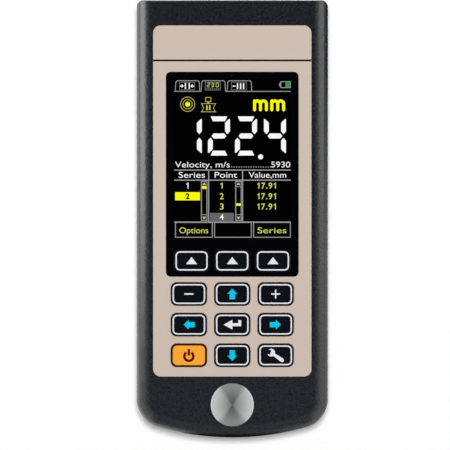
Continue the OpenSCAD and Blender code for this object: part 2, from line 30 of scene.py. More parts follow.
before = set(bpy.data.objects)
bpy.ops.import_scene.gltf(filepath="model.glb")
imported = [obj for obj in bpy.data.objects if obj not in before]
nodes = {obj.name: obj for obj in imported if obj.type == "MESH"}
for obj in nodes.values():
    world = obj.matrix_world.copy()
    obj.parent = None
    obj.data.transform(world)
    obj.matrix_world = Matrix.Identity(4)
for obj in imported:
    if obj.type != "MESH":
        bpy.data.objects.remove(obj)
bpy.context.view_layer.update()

SOFT_KEYS = ("soft_key_left", "soft_key_middle", "soft_key_right")
MAIN_KEYS = ("minus_key", "up_key", "plus_key", "left_key", "enter_key", "right_key", "down_key", "setup_key")
POWER_KEY = "power_key"


def box_mm(node):
    """Lowest and highest corner of a CAD node, in mm."""
    lo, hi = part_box(node)
    return lo / MM, hi / MM


def top_centre(node):
    """Middle of the upper face of a CAD node's box, in mm."""
    lo, hi = box_mm(node)
    return (lo.x + hi.x) / 2, (lo.y + hi.y) / 2, hi.z


# Outlines, in mm

def arc(radius, start, end, steps=12, centre=(0, 0)):
    """Points along an arc, with its angles in degrees."""
    angles = [math.radians(start + (end - start) * i / steps) for i in range(steps + 1)]
    return [(centre[0] + radius * math.cos(a), centre[1] + radius * math.sin(a)) for a in angles]


def circle(radius, centre=(0, 0), steps=48):
    return arc(radius, 0, 360, steps, centre)[:-1]


def rounded_rect(width, length, radius):
    points = []
    for sx, sy, start in ((1, 1, 0), (-1, 1, 90), (-1, -1, 180), (1, -1, 270)):
        corner = (sx * (width / 2 - radius), sy * (length / 2 - radius))
        points += arc(radius, start, start + 90, 8, corner)
    return points


def turned(points, degrees):
    """The outline turned about the origin."""
    c, s = math.cos(math.radians(degrees)), math.sin(math.radians(degrees))
    return [(x * c - y * s, x * s + y * c) for x, y in points]


class Print:
    """Thin flat shapes of one finish that lie on a face, gathered into one piece."""

    def __init__(self, name, z, thickness, place=lambda x, y: (x, y)):
        self.name, self.z, self.thickness, self.place = name, z, thickness, place
        self.mesh = bmesh.new()

    def _loop(self, points, z):
        return [self.mesh.verts.new(Vector((*self.place(x, y), z)) * MM) for x, y in points]

    def _walls(self, low, high):
        for i in range(len(low)):
            self.mesh.faces.new((low[i - 1], low[i], high[i], high[i - 1]))

    def shape(self, points):
        """A filled outline."""
        low, high = self._loop(points, self.z), self._loop(points, self.z + self.thickness)
        self.mesh.faces.new(low)
        self.mesh.faces.new(high)
        self._walls(low, high)

    def ring(self, outer, inner):
        """The band between two outlines that have as many points each."""
        loops = [self._loop(p, z) for z in (self.z, self.z + self.thickness) for p in (outer, inner)]
        for a, b in ((0, 1), (2, 3), (0, 2), (1, 3)):
            self._walls(loops[a], loops[b])

    def rect(self, x0, y0, x1, y1):
        self.shape([(x0, y0), (x1, y0), (x1, y1), (x0, y1)])

    def frame(self, x0, y0, x1, y1, line):
        """The outline of a rectangle, drawn inside it."""
        def corners(inset):
            left, low, right, high = x0 + inset, y0 + inset, x1 - inset, y1 - inset
            return [(left, low), (right, low), (right, high), (left, high)]
        self.ring(corners(0), corners(line))

    def stroke(self, points, width):
        """A line along points, with mitred bends."""
        left, right = [], []
        for i, p in enumerate(points):
            a, b = Vector(points[max(i - 1, 0)]), Vector(points[min(i + 1, len(points) - 1)])
            here = Vector(p)
            before = (here - a).normalized() if i else (b - here).normalized()
            after = (b - here).normalized() if i < len(points) - 1 else before
            normal = Vector((-(before + after).y, (before + after).x)).normalized()
            reach = width / 2 / max(normal.dot(Vector((-after.y, after.x))), 0.3)
            left.append(tuple(here + normal * reach))
            right.append(tuple(here - normal * reach))
        self.shape(left + right[::-1])

    def words(self, text, height, x0, x1, y, bold=-0.004):
        """A line of plain lettering from x0 to x1, with capitals of a height in mm, centred on y."""
        mesh, capital = lettering(text, bold), lettering("H", bold)
        (left, right), cap = spread(mesh, 0), spread(capital, 1)
        start, end = Vector(self.place(x0, y)), Vector(self.place(x1, y))
        scale_x, scale_y = (end.x - start.x) / (right - left), height / (cap[1] - cap[0])
        low = start.y - height / 2
        origin = Vector((start.x - left * scale_x, low - cap[0] * scale_y, self.z)) * MM
        size = (scale_x * MM, scale_y * MM, self.thickness * MM, 1)
        mesh.transform(Matrix.Translation(origin) @ Matrix.Diagonal(size))
        self.mesh.from_mesh(mesh)
        bpy.data.meshes.remove(mesh)
        bpy.data.meshes.remove(capital)

    def piece(self, material, body, slot):
        """Turns the shapes into one object that rides on a body."""
        bmesh.ops.recalc_face_normals(self.mesh, faces=self.mesh.faces)
        data = bpy.data.meshes.new(self.name)
        self.mesh.to_mesh(data)
        self.mesh.free()
        data.materials.append(material)
        made = bpy.data.objects.new(self.name, data)
        bpy.context.scene.collection.objects.link(made)
        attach(made, body)
        return made


def lettering(text, bold):
    """A mesh of plain letters, one unit thick and of a size of about one unit."""
    curve = bpy.data.curves.new("words", "FONT")
    curve.body, curve.size, curve.offset, curve.extrude = text, 1.0, bold, 0.5
    holder = bpy.data.objects.new("words", curve)
    mesh = bpy.data.meshes.new_from_object(holder)
    bpy.data.objects.remove(holder)
    bpy.data.curves.remove(curve)
    mesh.transform(Matrix.Translation((0, 0, 0.5)))
    return mesh


def spread(mesh, axis):
    """Lowest and highest value of a mesh along an axis."""
    values = [v.co[axis] for v in mesh.vertices]
    return min(values), max(values)


# Materials

def srgb(red, green, blue):
    """An 8-bit screen colour as a linear shader colour."""
    def linear(c):
        c /= 255
        return c / 12.92 if c <= 0.04045 else ((c + 0.055) / 1.055) ** 2.4
    return linear(red), linear(green), linear(blue), 1.0


def scaled(colour, factor):
    return tuple(min(c * factor, 1.0) for c in colour[:3]) + (1.0,)


class Nodes:
    """Short ways to add nodes to a tree."""

    def __init__(self, tree):
        self.tree = tree

    def add(self, kind, **settings):
        node = self.tree.nodes.new(kind)
        for key, value in settings.items():
            setattr(node, key, value)
        return node

    def feed(self, socket, value):
        """Links a socket to a socket, or sets it to a plain value."""
        if isinstance(value, bpy.types.NodeSocket):
            self.tree.links.new(value, socket)
        else:
            socket.default_value = value

    def math(self, operation, *values):
        node = self.add("ShaderNodeMath", operation=operation)
        for socket, value in zip(node.inputs, values):
            self.feed(socket, value)
        return node.outputs[0]

    def vector(self, operation, *values, out="Vector"):
        node = self.add("ShaderNodeVectorMath", operation=operation)
        for socket, value in zip(node.inputs, values):
            self.feed(socket, value)
        return node.outputs[out]

    def ramp(self, value, low, high, start=0.0, end=1.0):
        """start up to low, end from high, and straight between them."""
        node = self.add("ShaderNodeMapRange")
        names = ("Value", "From Min", "From Max", "To Min", "To Max")
        for name, given in zip(names, (value, low, high, start, end)):
            self.feed(node.inputs[name], given)
        return node.outputs["Result"]

    def curve(self, value, stops):
        """A level that runs straight from stop to stop of (value, level)."""
        node = self.add("ShaderNodeValToRGB")
        self.feed(node.inputs["Fac"], value)
        stones = node.color_ramp.elements
        while len(stones) < len(stops):
            stones.new(0.5)
        for stone, (place, level) in zip(stones, stops):
            stone.position, stone.color = place, (level, level, level, 1.0)
        return node.outputs["Color"]

    def mix(self, factor, a, b):
        node = self.add("ShaderNodeMix", data_type="RGBA")
        for name, given in (("Factor", factor), ("A", a), ("B", b)):
            self.feed(next(s for s in node.inputs if s.name == name and s.enabled), given)
        return next(s for s in node.outputs if s.enabled)


class Shader(Nodes):
    """A node material with a Principled surface."""

    def __init__(self, name):
        self.material = bpy.data.materials.new(name)
        self.material.use_nodes = True
        super().__init__(self.material.node_tree)
        self.surface = next(n for n in self.tree.nodes if n.type == "BSDF_PRINCIPLED")
        self.coords = self.add("ShaderNodeTexCoord").outputs["Object"]

    def set(self, **sockets):
        """Sets or links sockets of the surface, named with _ for a space."""
        for key, value in sockets.items():
            self.feed(self.surface.inputs[key.replace("_", " ")], value)

    def noise(self, grain, detail=2.0, stretch=(1, 1, 1)):
        """A noise whose grains measure about grain mm."""
        node = self.add("ShaderNodeTexNoise")
        node.inputs["Scale"].default_value = 1 / (grain * MM)
        node.inputs["Detail"].default_value = detail
        self.feed(node.inputs["Vector"], self.vector("MULTIPLY", self.coords, stretch))
        return node.outputs["Fac"]

    def bump(self, height, depth):
        """A bump that is depth mm deep."""
        node = self.add("ShaderNodeBump")
        node.inputs["Distance"].default_value = depth * MM
        self.feed(node.inputs["Height"], height)
        self.set(Normal=node.outputs["Normal"])

    def in_rect(self, width, length, radius, centre, soft=0.05):
        """1 inside a rounded rectangle of the XY plane and 0 outside, in mm."""
        local = self.vector("SUBTRACT", self.coords, (centre[0] * MM, centre[1] * MM, 0))
        size = self.vector("ABSOLUTE", self.vector("MULTIPLY", local, (1, 1, 0)))
        core = ((width / 2 - radius) * MM, (length / 2 - radius) * MM, 0)
        out = self.vector("MAXIMUM", self.vector("SUBTRACT", size, core), (0, 0, 0))
        far = self.vector("LENGTH", out, out="Value")
        return self.ramp(far, (radius - soft) * MM, (radius + soft) * MM, 1.0, 0.0)


def plastic(name, colour, roughness, grain=0.5, spread=0.08, depth=0.0, specular=0.5, soft=0.2):
    """Moulded or printed surface: a colour that varies by spread, over grains of grain mm."""
    s = Shader(name)
    marks = s.ramp(s.noise(grain), 0.5 - soft, 0.5 + soft)
    s.set(Base_Color=s.mix(marks, scaled(colour, 1 - spread), scaled(colour, 1 + spread)),
          Roughness=s.math("MULTIPLY_ADD", s.noise(4 * grain), 0.1, roughness - 0.05),
          Specular_IOR_Level=specular)
    if depth:
        s.bump(marks, depth)
    return s


def metal(name, colour, roughness, grain=0.3, stretch=(1, 1, 1)):
    """Metal with fine marks, drawn out along an axis by stretch."""
    s = Shader(name)
    marks = s.noise(grain, 3.0, stretch)
    s.set(Metallic=1.0, Base_Color=s.mix(marks, scaled(colour, 0.85), scaled(colour, 1.1)),
          Roughness=s.math("MULTIPLY_ADD", marks, 0.2, roughness - 0.1))
    return s


def screen_light(name, colour):
    """Lit pixels of the display, with the dark grid between them."""
    s = Shader(name)
    grid = s.add("ShaderNodeTexBrick", offset=0.0, squash=1.0)
    grid.inputs["Scale"].default_value = 1 / (PIXEL_W * MM)
    grid.inputs["Mortar Size"].default_value = 0.04
    grid.inputs["Brick Width"].default_value = 1.0
    grid.inputs["Row Height"].default_value = PIXEL_L / PIXEL_W
    grid.inputs["Color1"].default_value = colour
    grid.inputs["Color2"].default_value = colour
    grid.inputs["Mortar"].default_value = scaled(colour, 0.95)
    s.feed(grid.inputs["Vector"], s.coords)
    s.set(Base_Color=(0.0, 0.0, 0.0, 1.0), Roughness=0.6, Specular_IOR_Level=0.1,
          Emission_Color=grid.outputs["Color"], Emission_Strength=1.0)
    return s.material


def shell_material():
    """Grained dark slate plastic."""
    return plastic("shell_plastic", srgb(18, 22, 27), 0.28, grain=0.8, spread=0.7, depth=0.03,
                   specular=1.0, soft=0.09).material


def window_material():
    """Clear window, printed black on its back all round the picture."""
    s = plastic("window_plastic", srgb(3, 3, 6), 0.12, grain=3.0, spread=0.2, specular=0.25)
    view = s.in_rect(VIEW_W, VIEW_L, 0.2, (VIEW_X, VIEW_Y))
    s.set(Alpha=s.ramp(view, 0.0, 1.0, 1.0, 0.03))
    return s.material


def power_key_material():
    """Orange cap with a dark border."""
    s = Shader("power_key_cap")
    x, y, _ = top_centre(POWER_KEY)
    orange = s.mix(s.noise(0.6), srgb(250, 164, 48), srgb(255, 172, 56))
    face = s.in_rect(*POWER_FACE, (x, y))
    s.set(Base_Color=s.mix(face, DARK_BROWN, orange), Roughness=0.5, Specular_IOR_Level=0.2)
    return s.material


def disc_material():
    """Steel turned on its face, with marks round its centre; its colour is a painted reflection, darker at
    the centre and brighter towards the rim.
    """
    s = Shader("turned_steel_painted_sheen")
    x, y, _ = top_centre("reference_disc")
    out = s.vector("MULTIPLY", s.vector("SUBTRACT", s.coords, (x * MM, y * MM, 0)), (1, 1, 0))
    radius = s.vector("LENGTH", out, out="Value")
    marks = s.add("ShaderNodeTexNoise", noise_dimensions="1D")
    marks.inputs["Scale"].default_value = 1 / (0.12 * MM)
    marks.inputs["Detail"].default_value = 3.0
    s.feed(marks.inputs["W"], radius)
    # painted reflection: the base colour runs from dark at the centre to bright towards the rim, and the
    # darker tone of the turning marks keeps it
    far = s.ramp(radius, 0.3 * MM, 6.5 * MM)
    steel_painted_sheen = s.mix(far, srgb(154, 155, 156), srgb(250, 251, 251))
    marked_steel_painted_sheen = s.mix(0.12, steel_painted_sheen, (0.0, 0.0, 0.0, 1.0))
    s.set(Metallic=0.85, Base_Color=s.mix(marks.outputs["Fac"], marked_steel_painted_sheen, steel_painted_sheen), Roughness=0.35,
          Anisotropic=1.0, Tangent=s.vector("NORMALIZE", out))
    return s.material


# Places that the prints and finishes share, in mm
GLASS_EDGE = 1.5
glass_lo, glass_hi = box_mm("display_glass")
VIEW_W = glass_hi.x - glass_lo.x - 2 * GLASS_EDGE
VIEW_L = glass_hi.y - glass_lo.y - 2 * GLASS_EDGE
VIEW_X = (glass_lo.x + glass_hi.x) / 2
VIEW_Y = (glass_lo.y + glass_hi.y) / 2
PIXELS_WIDE, PIXELS_LONG = 240, 320
PIXEL_W, PIXEL_L = VIEW_W / PIXELS_WIDE, VIEW_L / PIXELS_LONG
PRINT_T = 0.03
LAYER = 0.02

# Width, length and corner radius of what is printed on the keys, and the line of the rings
POWER_FACE = (11.85, 7.2, 1.65)
SOFT_RING = (11.85, 7.12, 1.7)
MAIN_RING = (12.0, 7.34, 1.75)
RING_LINE = 0.5

DARK_BROWN, RED_BROWN = srgb(54, 17, 8), srgb(80, 3, 0)
WHITE_PRINT = plastic("white_print", srgb(232, 233, 238), 0.5, grain=0.4, spread=0.03).material
CYAN_PRINT = plastic("cyan_print", srgb(8, 198, 228), 0.5, grain=0.4, spread=0.04, specular=0.2).material
BROWN_PRINT = plastic("brown_print", RED_BROWN, 0.5, grain=0.4, spread=0.05, specular=0.2).material
RULE_PRINT = plastic("rule_print", srgb(8, 5, 4), 0.5, grain=0.4, spread=0.05, specular=0.05).material


def dress_nodes():
    """A finish for every CAD node."""
    key_black = plastic("key_cap", srgb(9, 12, 19), 0.25, grain=0.4, spread=0.15, depth=0.002,
                        specular=0.28).material
    fastener = metal("zinc_steel", srgb(176, 178, 180), 0.35).material
    brass = metal("brass", srgb(214, 168, 84), 0.3).material
    socket_metal = metal("nickel", srgb(206, 207, 208), 0.22, stretch=(1, 0.2, 1)).material
    shell = shell_material()
    finishes = {
        "front_shell": shell,
        "rear_shell": shell,
        "end_plate": plastic("end_plate_plastic", srgb(26, 28, 30), 0.4, grain=0.4, spread=0.2,
                             depth=0.01).material,
        "shell_gasket": plastic("gasket_rubber", srgb(18, 18, 19), 0.7).material,
        "face_panel": plastic("panel_film", srgb(209, 192, 180), 0.45, grain=0.3, spread=0.02,
                              depth=0.002).material,
        "display_window": window_material(),
        "display_foam": plastic("foam", srgb(20, 20, 22), 0.9, grain=0.2, spread=0.3, depth=0.05).material,
        "display_glass": plastic("display_glass", srgb(1, 1, 2), 0.2, grain=1.0, specular=0.12).material,
        "display_frame": plastic("tray_plastic", srgb(222, 223, 224), 0.45).material,
        "main_board": plastic("board_mask", srgb(24, 92, 52), 0.35, grain=1.5, spread=0.2).material,
        "board_chips": plastic("chip_epoxy", srgb(22, 22, 24), 0.55, grain=0.2, spread=0.2,
                               depth=0.01).material,
        "key_switches": plastic("switch_body", srgb(58, 60, 64), 0.5).material,
        "battery_pack": plastic("battery_wrap", srgb(140, 144, 150), 0.3, grain=6.0).material,
        "battery_pad": plastic("pad_foam", srgb(216, 211, 196), 0.9, grain=0.3, depth=0.04).material,
        "battery_contacts": brass,
        "probe_socket_left": socket_metal,
        "probe_socket_right": socket_metal,
        "socket_nuts": fastener,
        "socket_insulators": plastic("insulator", srgb(232, 232, 228), 0.35).material,
        "socket_contacts": brass,
        "socket_leads": plastic("lead_sleeve", srgb(176, 42, 40), 0.5).material,
        "usb_port": metal("port_steel", srgb(194, 196, 198), 0.3).material,
        "usb_tongue": plastic("port_tongue", srgb(22, 22, 24), 0.5).material,
        "reference_disc": disc_material(),
        "housing_screws": metal("dark_screw", srgb(84, 86, 90), 0.35).material,
        "screw_inserts": brass,
        "board_screws": fastener,
        POWER_KEY: power_key_material(),
    }
    plunger = plastic("plunger_plastic", srgb(230, 226, 216), 0.5).material
    for key in SOFT_KEYS + MAIN_KEYS + (POWER_KEY,):
        finishes.setdefault(key, key_black)
        finishes[key + "_plunger"] = plunger
    for name, node in nodes.items():
        node.data.materials.clear()
        node.data.materials.append(finishes[name])


# The bow of the lower end, in mm: its radius and the middle of its arc, the radius of the rolled
# edges and the heights where they start, and the groove over the joint

END_R, END_Y = 100, 19.2
EDGE_R, EDGE_LOW, EDGE_HIGH = 5.5, 5.45, 18.55
JOINT_Z, GROOVE_H, GROOVE_T = 11, 0.6, 0.4


def bow(name, profile):
    """The outer part of the bowed end, on the flat that the housing has there.

    profile is a list of (height, radius)."""
    flat_y = box_mm("front_shell")[0].y
    mesh = bmesh.new()
    rows = []
    for z, radius in profile:
        half = math.asin(math.sqrt(max(1 - ((END_Y - flat_y) / radius) ** 2, 0)))
        plan = arc(radius, 270 - math.degrees(half), 270 + math.degrees(half), 48, (0, END_Y))
        rows.append([mesh.verts.new(Vector((x, y, z)) * MM) for x, y in plan])
    for low, high in zip(rows, rows[1:]):
        for i in range(len(low) - 1):
            mesh.faces.new((low[i], low[i + 1], high[i + 1], high[i]))
    mesh.faces.new(rows[0])
    mesh.faces.new(rows[-1])
    mesh.faces.new([row[0] for row in rows] + [row[-1] for row in rows[::-1]])
    bmesh.ops.recalc_face_normals(mesh, faces=mesh.faces)
    data = bpy.data.meshes.new(name)
    mesh.to_mesh(data)
    mesh.free()
    data.shade_smooth()
    data.set_sharp_from_angle(angle=math.radians(30))
    data.materials.append(nodes["front_shell"].data.materials[0])
    made = bpy.data.objects.new(name, data)
    bpy.context.scene.collection.objects.link(made)
    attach(made, "housing")


def make_bow():
    """Both halves of the bow, with the groove between them."""
    reach = END_Y - box_mm("front_shell")[0].y
    last = math.degrees(math.acos((reach + 0.002 - END_R + EDGE_R) / EDGE_R))
    roll = arc(EDGE_R, 0, last, 20)
    high = [(EDGE_HIGH + y, END_R - EDGE_R + x) for x, y in roll]
    low = [(EDGE_LOW - y, END_R - EDGE_R + x) for x, y in roll[::-1]]
    groove = JOINT_Z + GROOVE_H
    bow("front_bow", [(JOINT_Z, END_R - GROOVE_T), (groove, END_R - GROOVE_T), (groove, END_R)] + high)
    bow("rear_bow", low + [(JOINT_Z, END_R)])


# Signs on the keys, in mm from the middle of each key

def arrow(tip, base, half, stem, tail):
    """An arrow along +Y: a head from its base to its tip, and a stem down to its tail."""
    return [(0, tip), (-half, base), (-stem, base), (-stem, tail), (stem, tail), (stem, base), (half, base)]


def plus_sign(reach, half):
    return [(half, reach), (-half, reach), (-half, half), (-reach, half), (-reach, -half), (-half, -half),
            (-half, -reach), (half, -reach), (half, -half), (reach, -half), (reach, half), (half, half)]


def wrench(jaw, jaw_r, end, end_r, neck, turn):
    """An open-ended spanner from its jaw to the round end of its handle, with its mouth turned
    off the handle's line."""
    along = Vector(end) - Vector(jaw)
    slope = math.degrees(math.atan2(along.y, along.x))
    opening = 36
    mouth = jaw_r * math.sin(math.radians(opening))
    root = math.degrees(math.asin(neck / jaw_r))
    slot = turned([(-0.12 * jaw_r, mouth), (-0.12 * jaw_r, -mouth)], turn)
    points = arc(jaw_r, root, 180 + turn - opening, 16) + slot
    points += arc(jaw_r, 180 + turn + opening, 360 - root, 16)
    points += arc(end_r, -90, 90, 10, (along.length, 0))
    return [(x + jaw[0], y + jaw[1]) for x, y in turned(points, slope)]


def power_sign(sign, drop, radius, line, bar_low, bar_high, gap):
    """A ring that is open at the top, with an upright bar in the opening."""
    outer = arc(radius + line / 2, 90 + gap, 450 - gap, 40, (0, drop))
    inner = arc(radius - line / 2, 90 + gap, 450 - gap, 40, (0, drop))
    sign.shape(outer + inner[::-1])
    sign.rect(-line / 2, bar_low, line / 2, bar_high)


SIGNS = {
    "minus_key": [(-1.68, 0.27), (-1.68, -0.27), (1.68, -0.27), (1.68, 0.27)],
    "plus_key": plus_sign(1.62, 0.26),
    "up_key": arrow(1.95, 0.05, 1.85, 0.98, -1.95),
    "down_key": turned(arrow(2.0, 0.12, 1.82, 0.98, -1.9), 180),
    "left_key": turned(arrow(1.92, 0.08, 1.8, 0.97, -2.15), 90),
    "right_key": turned(arrow(1.92, 0.08, 1.8, 0.97, -2.15), -90),
    "enter_key": [(-3.2, 0), (0.05, -1.78), (0.05, -0.55), (3.3, -0.55), (3.3, 1.68), (2.2, 1.68),
                  (2.2, 0.55), (0.05, 0.55), (0.05, 1.78)],
    "setup_key": wrench((-1.66, 0.99), 1.42, (2.35, -1.8), 0.7, 0.55, 18),
}
SOFT_SIGN = [(0, 1.45), (-2.05, -1.2), (2.05, -1.2)]
CYAN_KEYS = ("up_key", "down_key", "left_key", "right_key")


def print_key(key, sign, ring_w, ring_l, ring_r):
    """The white ring and the sign on a black key."""
    x, y, z = top_centre(key)

    def place(px, py):
        return px + x, py + y

    ring = Print(key + "_ring", z, PRINT_T, place)
    ring.ring(rounded_rect(ring_w, ring_l, ring_r),
              rounded_rect(ring_w - 2 * RING_LINE, ring_l - 2 * RING_LINE, ring_r - RING_LINE))
    ring.piece(WHITE_PRINT, key, "key_black")
    mark = Print(key + "_sign", z, PRINT_T, place)
    mark.shape(sign)
    mark.piece(CYAN_PRINT if key in CYAN_KEYS else WHITE_PRINT, key, "key_black")


def print_keys():
    for key in SOFT_KEYS:
        print_key(key, SOFT_SIGN, *SOFT_RING)
    for key in MAIN_KEYS:
        print_key(key, SIGNS[key], *MAIN_RING)
    x, y, z = top_centre(POWER_KEY)
    sign = Print("power_key_sign", z, PRINT_T, lambda px, py: (px + x, py + y))
    power_sign(sign, drop=-0.36, radius=1.66, line=0.92, bar_low=-0.1, bar_high=2.3, gap=33)
    sign.piece(BROWN_PRINT, POWER_KEY, "key_orange")


def print_header_rule():
    """The dark line in the groove under the header field, which stands a little over the face."""
    lo, hi = box_mm("face_panel")
    drop, width, depth, level = 12.93, 0.65, 0.2, 0.01
    rule = Print("header_rule", hi.z - depth, depth + level)
    rule.rect(lo.x + 0.05, hi.y - drop - width / 2, hi.x - 0.05, hi.y - drop + width / 2)
    rule.piece(RULE_PRINT, "housing", "panel")


# The picture on the display, in its pixels: u to the right and v down from its upper left corner

def on_screen(u, v):
    return VIEW_X - VIEW_W / 2 + u * PIXEL_W, VIEW_Y + VIEW_L / 2 - v * PIXEL_L


def digit(sheet, lit, u, v, width, height):
    """A seven-segment figure; lit names its segments, from a at the top round to g in the middle."""
    wide, tall = 47, 82
    top = [(6.4, 0.8), (40.6, 0.8), (36, 10.7), (11, 10.7)]
    side = [(46.2, 6.3), (46.2, 31.4), (41.1, 37.3), (36.2, 31.4), (36.2, 14), (44.2, 6.3)]
    bars = {
        "a": top,
        "b": side,
        "c": [(x, tall - y) for x, y in side],
        "d": [(x, tall - y) for x, y in top],
        "e": [(wide - x, tall - y) for x, y in side],
        "f": [(wide - x, y) for x, y in side],
        "g": [(8.4, 41), (12.6, 35.8), (34.4, 35.8), (38.6, 41), (34.4, 46.2), (12.6, 46.2)],
    }
    for name in lit:
        sheet.shape([(u + x * width / wide, v + y * height / tall) for x, y in bars[name]])


def figures(sheet, text, u, v, height=12, step=9.5, bold=0.004):
    """Small figures about the middle (u, v)."""
    steps = [0.55 if c == "." else 1.0 for c in text]
    left = u - sum(steps) * step / 2
    for c, share in zip(text, steps):
        right = left + share * step
        if c == "1":
            middle = (left + right) / 2 + 0.8
            sheet.rect(middle - 0.9, v - height / 2, middle + 0.9, v + height / 2)
            sheet.stroke([(middle - 3, v - height / 2 + 3.4), (middle, v - height / 2 + 0.9)], 1.6)
        elif c == ".":
            sheet.rect(left + 1.2, v + height / 2 - 2.2, left + 3.4, v + height / 2)
        else:
            sheet.words(c, height * PIXEL_L, left + 0.9, right - 0.9, v, bold)
        left = right


def draw_tabs(grey, white, pale, shade):
    """Three tabs on a line, each with a mark in a box; the middle one is open below."""
    base, top, line = 22.5, 0.9, 1.4
    for left, right in ((4.1, 52.2), (57.2, 105), (110.8, 159)):
        grey.stroke([(left - 1.3, base), (left, top + 3), (left + 2.2, top), (right - 2.2, top),
                     (right, top + 3), (right + 1.3, base)], line)
    grey.rect(1.2, base - line / 2, 56, base + line / 2)
    grey.rect(106, base - line / 2, PIXELS_WIDE, base + line / 2)
    for left in (11, 64, 117.5):
        shade.frame(left, 3, left + 32.4, 20.4, 1.5)
    for tip, back, tail, bar in ((20.6, 16, 12.8, 22.6), (33.8, 38.4, 41.6, 30.4)):
        white.shape([(tip, 11.7), (back, 7.9), (back, 15.5)])
        white.rect(min(back, tail), 10.7, max(back, tail), 12.7)
        white.rect(bar, 5.4, bar + 2.3, 18)
    for lit, u in (("abged", 68), ("abgcd", 76), ("abcdef", 86)):
        digit(pale, lit, u, 4.8, 6.5, 9.2)
    for u in range(67, 95, 4):
        shade.rect(u, 15.6, u + 2, 18.6)
    white.rect(120.8, 10.8, 126.8, 12.8)
    for u in (129.5, 135.8, 142):
        white.rect(u, 6, u + 2.6, 17.8)


def draw_battery(grey, green):
    grey.frame(219, 2, PIXELS_WIDE, 15.6, 1.5)
    grey.rect(216.4, 5.8, 219, 12)
    green.rect(229.4, 4.2, 237.8, 13.6)


def small_m(sheet, u, top, foot, width, stem):
    """A round-ended letter m."""
    half = stem / 2
    xs = (u + half, u + width / 2, u + width - half)
    for x in xs:
        sheet.rect(x - half, top + half + (0 if x == xs[0] else half), x + half, foot - half)
        sheet.shape(circle(half, (x, foot - half), 24))
    sheet.shape(circle(half, (xs[0], top + half), 24))
    for a, b in zip(xs, xs[1:]):
        reach = (b - a) / 2
        bow = arc(reach, 0, 180, 12, ((a + b) / 2, -(top + half + reach)))
        sheet.stroke([(x, -y) for x, y in bow], stem)


def draw_status(yellow, pale, dim):
    """Coupling mark, probe mark and unit."""
    centre = (28.4, 48.7)
    for radius in (14.6, 9.4):
        dim.ring(circle(radius + 0.65, centre), circle(radius - 0.65, centre))
    yellow.shape(circle(5, centre))
    dim.frame(64.6, 34.2, 76.8, 44, 1.3)
    dim.rect(69, 44, 72.4, 47.5)
    bell = [(86, 47.5), (82.5, 53), (81.5, 57), (84, 62), (86, 64)]
    flip = [(142.5 - x, y) for x, y in bell]
    dim.stroke([(58, 47.5)] + bell + flip[::-1] + [(58, 46.7)], 1.2)
    for u in (66.6, 72.4):
        pale.rect(u, 51, u + 2.5, 60.5)
    for u in (162.8, 198.2):
        small_m(yellow, u, 38.8, 62.9, 30.4, 6.1)


def draw_reading(white):
    for lit, u in (("bc", 11.5), ("abged", 69.3), ("abged", 124.9), ("fgbc", 184.4)):
        digit(white, lit, u, 72.6, 46.7, 81.2)
    white.shape(circle(5.1, (178.3, 155.6)))


def draw_setting(white, grey):
    """A setting with its value at the end of a dotted line."""
    white.words("Velocity, m/s", 2.1, 2.6, 115, 171.3)
    for u in range(118, 199, 5):
        grey.rect(u, 175.2, u + 2, 177.2)
    white.words("5930", 2.1, 200, 239, 171.3)


def draw_table(grey, white, yellow, pale, dark, shade):
    """Two lists with their slides, and the values of the second one."""
    for v in (182.5, 203, 288.2):
        grey.rect(1, v - 1, PIXELS_WIDE, v + 1)
    for u in (71.5, 141.2):
        grey.rect(u - 1, 182.5, u + 1, 288.2)
    for text, u0, u1 in (("Series", 10, 64), ("Point", 84, 130), ("Value,mm", 154, 231)):
        white.words(text, 2.1, u0, u1, 192.3)
    lines = (214.3, 235.7, 256.7, 277.9)
    yellow.rect(2.6, 227.4, 53.8, 244.1)
    shade.rect(74.2, 269.7, 123.3, 286.6)
    figures(white, "1", 28.3, lines[0])
    figures(dark, "2", 28.3, lines[1], bold=0.05)
    for text, v in zip("123", lines):
        figures(pale, text, 98.4, v)
        figures(pale, "17.91", 191, v)
    figures(white, "4", 98.4, lines[3])
    for left, thumb, depth in ((55.8, 214.9, 5.9), (126.3, 250.3, 4.8)):
        right = left + 13
        middle = left + 6.5
        grey.frame(left, 204.6, right, 285.6, 1.7)
        for v in (216.3, 273.2):
            grey.rect(left + 1.7, v - 0.6, right - 1.7, v + 0.6)
        yellow.rect(left + 1.9, thumb, right - 1.9, thumb + depth)
        for tip, back in ((207.5, 212.5), (282.6, 277.6)):
            pale.shape([(middle, tip), (middle + 3.6, back), (middle - 3.6, back)])


def draw_soft_labels(grey, pale):
    for left, text in ((2.5, "Options"), (82.8, ""), (163.1, "Series")):
        grey.frame(left, 288.2, left + 77.2, PIXELS_LONG, 1.6)
        if text:
            pale.words(text, 2.1, left + 9, left + 68, 305)


def draw_picture():
    top = glass_hi.z
    colours = {"grey": (160, 160, 163), "yellow": (255, 255, 10), "pale": (222, 226, 110),
               "dim": (186, 182, 92), "green": (44, 160, 58), "shade": (106, 104, 103),
               "white": (255, 255, 255), "dark": (8, 8, 0)}
    upper = ("white", "dark")
    sheets = {name: Print("screen_" + name, top + (LAYER if name in upper else 0), LAYER, on_screen)
              for name in colours}
    grey, yellow, pale, dim, green, shade, white, dark = sheets.values()
    draw_tabs(grey, white, pale, shade)
    draw_battery(grey, green)
    draw_status(yellow, pale, dim)
    draw_reading(white)
    draw_setting(white, grey)
    draw_table(grey, white, yellow, pale, dark, shade)
    draw_soft_labels(grey, pale)
    for name, colour in colours.items():
        light = screen_light("screen_%s_light" % name, srgb(*colour))
        sheets[name].piece(light, "housing", "display_glass")


# Studio, in metres and watts

# Strips along the left edge: how many, from where to where, over what length they fade,
# their gap to the edge, their lower and upper rim, and how bright they are
STRIPS, STRIPS_FOOT, STRIPS_TOP, STRIP_FADE = 12, -0.06, 0.09, 0.085
STRIP_GAP, STRIP_LOW, STRIP_HIGH, STRIP_LEVEL = 0.0035, 0.022, 0.030, 2.4

